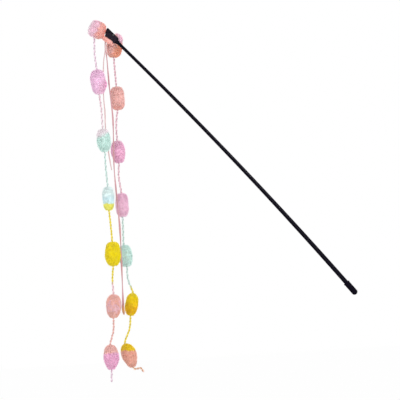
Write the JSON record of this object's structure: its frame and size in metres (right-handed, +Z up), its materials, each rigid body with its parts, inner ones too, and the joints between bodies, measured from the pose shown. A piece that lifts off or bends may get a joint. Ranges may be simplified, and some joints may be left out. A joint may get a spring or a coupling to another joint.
{
  "type": "cat teaser wand",
  "caption": "Slim flexible rod with a rubber butt cap and a hinged clip that holds two hanging strands of pompom yarn and two thin cords.",
  "frame": {"origin": "the middle of the grip part of the butt cap, on the rod's axis", "axes": "+Z up as the wand is held in use, -X from the butt towards the clip, Y across the wand; the strands hang along -Z"},
  "size_m": [0.3088, 0.0464, 0.4342],
  "materials": {
    "black_rod": "gloss",
    "black_rubber": "matte",
    "black_plastic": "satin",
    "steel_pin": "satin",
    "coral_pile": "soft pile",
    "pink_pile": "soft pile",
    "hot_pink_pile": "soft pile",
    "lilac_pile": "soft pile",
    "salmon_pile": "soft pile",
    "mint_pile": "soft pile",
    "blue_pile": "soft pile",
    "yellow_pile": "soft pile",
    "pink_yarn": "twisted yarn",
    "salmon_yarn": "twisted yarn",
    "mint_yarn": "twisted yarn",
    "yellow_yarn": "twisted yarn",
    "mauve_cord": "soft cord"
  },
  "bodies": {
    "wand": {"rod": "black_rod", "butt_cap": "black_rubber", "ferrule": "black_plastic", "clip_body": "black_plastic", "clip_pin": "steel_pin", "yarn_loop": "salmon_yarn", "cord_hitch": "mauve_cord", "left_pompom_1": "coral_pile", "right_pompom_1": "coral_pile"},
    "lid": {"clip_lid": "black_plastic"},
    "left_lead": {"left_yarn_2": "pink_yarn"},
    "left_link_2": {"left_pompom_2": "lilac_pile", "left_core_2": "pink_yarn"},
    "left_link_3": {"left_yarn_3": "pink_yarn", "left_pompom_3": "mint_pile"},
    "left_link_4": {"left_yarn_4": "mint_yarn", "left_pompom_4": "blue_pile"},
    "left_link_5": {"left_yarn_5": "yellow_yarn", "left_pompom_5": "yellow_pile"},
    "left_link_6": {"left_yarn_6": "yellow_yarn", "left_pompom_6": "salmon_pile"},
    "left_link_7": {"left_yarn_7": "salmon_yarn", "left_pompom_7": "lilac_pile"},
    "right_lead": {"right_yarn_2": "pink_yarn"},
    "right_link_2": {"right_pompom_2": "salmon_pile", "right_core_2": "salmon_yarn"},
    "right_link_3": {"right_yarn_3": "pink_yarn", "right_pompom_3": "hot_pink_pile"},
    "right_link_4": {"right_yarn_4": "pink_yarn", "right_pompom_4": "pink_pile"},
    "right_link_5": {"right_yarn_5": "mint_yarn", "right_pompom_5": "mint_pile"},
    "right_link_6": {"right_yarn_6": "yellow_yarn", "right_pompom_6": "yellow_pile"},
    "right_link_7": {"right_yarn_7": "yellow_yarn", "right_pompom_7": "salmon_pile"},
    "long_cord": {"long_cord": "mauve_cord", "long_cord_knot": "mauve_cord"},
    "short_cord": {"short_cord": "mauve_cord"}
  },
  "joints": [
    {"name": "lid_hinge", "type": "hinge", "parent": "wand", "child": "lid", "pos_m": [-0.26672, 0, 0.31958], "axis": [0, 1, 0], "range_deg": [0, 80]},
    {"name": "left_swing_2", "type": "hinge", "parent": "wand", "child": "left_lead", "pos_m": [-0.28937, -0.01008, 0.31996], "axis": [0, 1, 0], "range_deg": [-25, 25]},
    {"name": "left_sway", "type": "hinge", "parent": "left_lead", "child": "left_link_2", "pos_m": [-0.28858, -0.014, 0.27693], "axis": [1, 0, 0], "range_deg": [-30, 0]},
    {"name": "left_swing_3", "type": "hinge", "parent": "left_link_2", "child": "left_link_3", "pos_m": [-0.28769, -0.014, 0.25135], "axis": [0, 1, 0], "range_deg": [-25, 25]},
    {"name": "left_swing_4", "type": "hinge", "parent": "left_link_3", "child": "left_link_4", "pos_m": [-0.28482, -0.014, 0.18206], "axis": [0, 1, 0], "range_deg": [-25, 25]},
    {"name": "left_swing_5", "type": "hinge", "parent": "left_link_4", "child": "left_link_5", "pos_m": [-0.28418, -0.014, 0.11134], "axis": [0, 1, 0], "range_deg": [-25, 25]},
    {"name": "left_swing_6", "type": "hinge", "parent": "left_link_5", "child": "left_link_6", "pos_m": [-0.28274, -0.014, 0.04492], "axis": [0, 1, 0], "range_deg": [-25, 25]},
    {"name": "left_swing_7", "type": "hinge", "parent": "left_link_6", "child": "left_link_7", "pos_m": [-0.28626, -0.014, -0.01725], "axis": [0, 1, 0], "range_deg": [-25, 25]},
    {"name": "right_swing_2", "type": "hinge", "parent": "wand", "child": "right_lead", "pos_m": [-0.26816, 0.014, 0.29517], "axis": [0, 1, 0], "range_deg": [-25, 25]},
    {"name": "right_sway", "type": "hinge", "parent": "right_lead", "child": "right_link_2", "pos_m": [-0.26693, 0.014, 0.25602], "axis": [1, 0, 0], "range_deg": [0, 30]},
    {"name": "right_swing_3", "type": "hinge", "parent": "right_link_2", "child": "right_link_3", "pos_m": [-0.26693, 0.014, 0.23162], "axis": [0, 1, 0], "range_deg": [-25, 25]},
    {"name": "right_swing_4", "type": "hinge", "parent": "right_link_3", "child": "right_link_4", "pos_m": [-0.26923, 0.014, 0.16784], "axis": [0, 1, 0], "range_deg": [-25, 25]},
    {"name": "right_swing_5", "type": "hinge", "parent": "right_link_4", "child": "right_link_5", "pos_m": [-0.26873, 0.014, 0.10278], "axis": [0, 1, 0], "range_deg": [-25, 25]},
    {"name": "right_swing_6", "type": "hinge", "parent": "right_link_5", "child": "right_link_6", "pos_m": [-0.26704, 0.014, 0.04302], "axis": [0, 1, 0], "range_deg": [-25, 25]},
    {"name": "right_swing_7", "type": "hinge", "parent": "right_link_6", "child": "right_link_7", "pos_m": [-0.26606, 0.014, -0.0164], "axis": [0, 1, 0], "range_deg": [-25, 25]},
    {"name": "long_cord_swing", "type": "hinge", "parent": "wand", "child": "long_cord", "pos_m": [-0.2767, 0, 0.31399], "axis": [0, 1, 0], "range_deg": [-35, 60]},
    {"name": "short_cord_swing", "type": "hinge", "parent": "wand", "child": "short_cord", "pos_m": [-0.2767, 0, 0.31399], "axis": [0, 1, 0], "range_deg": [-35, 60]}
  ]
}
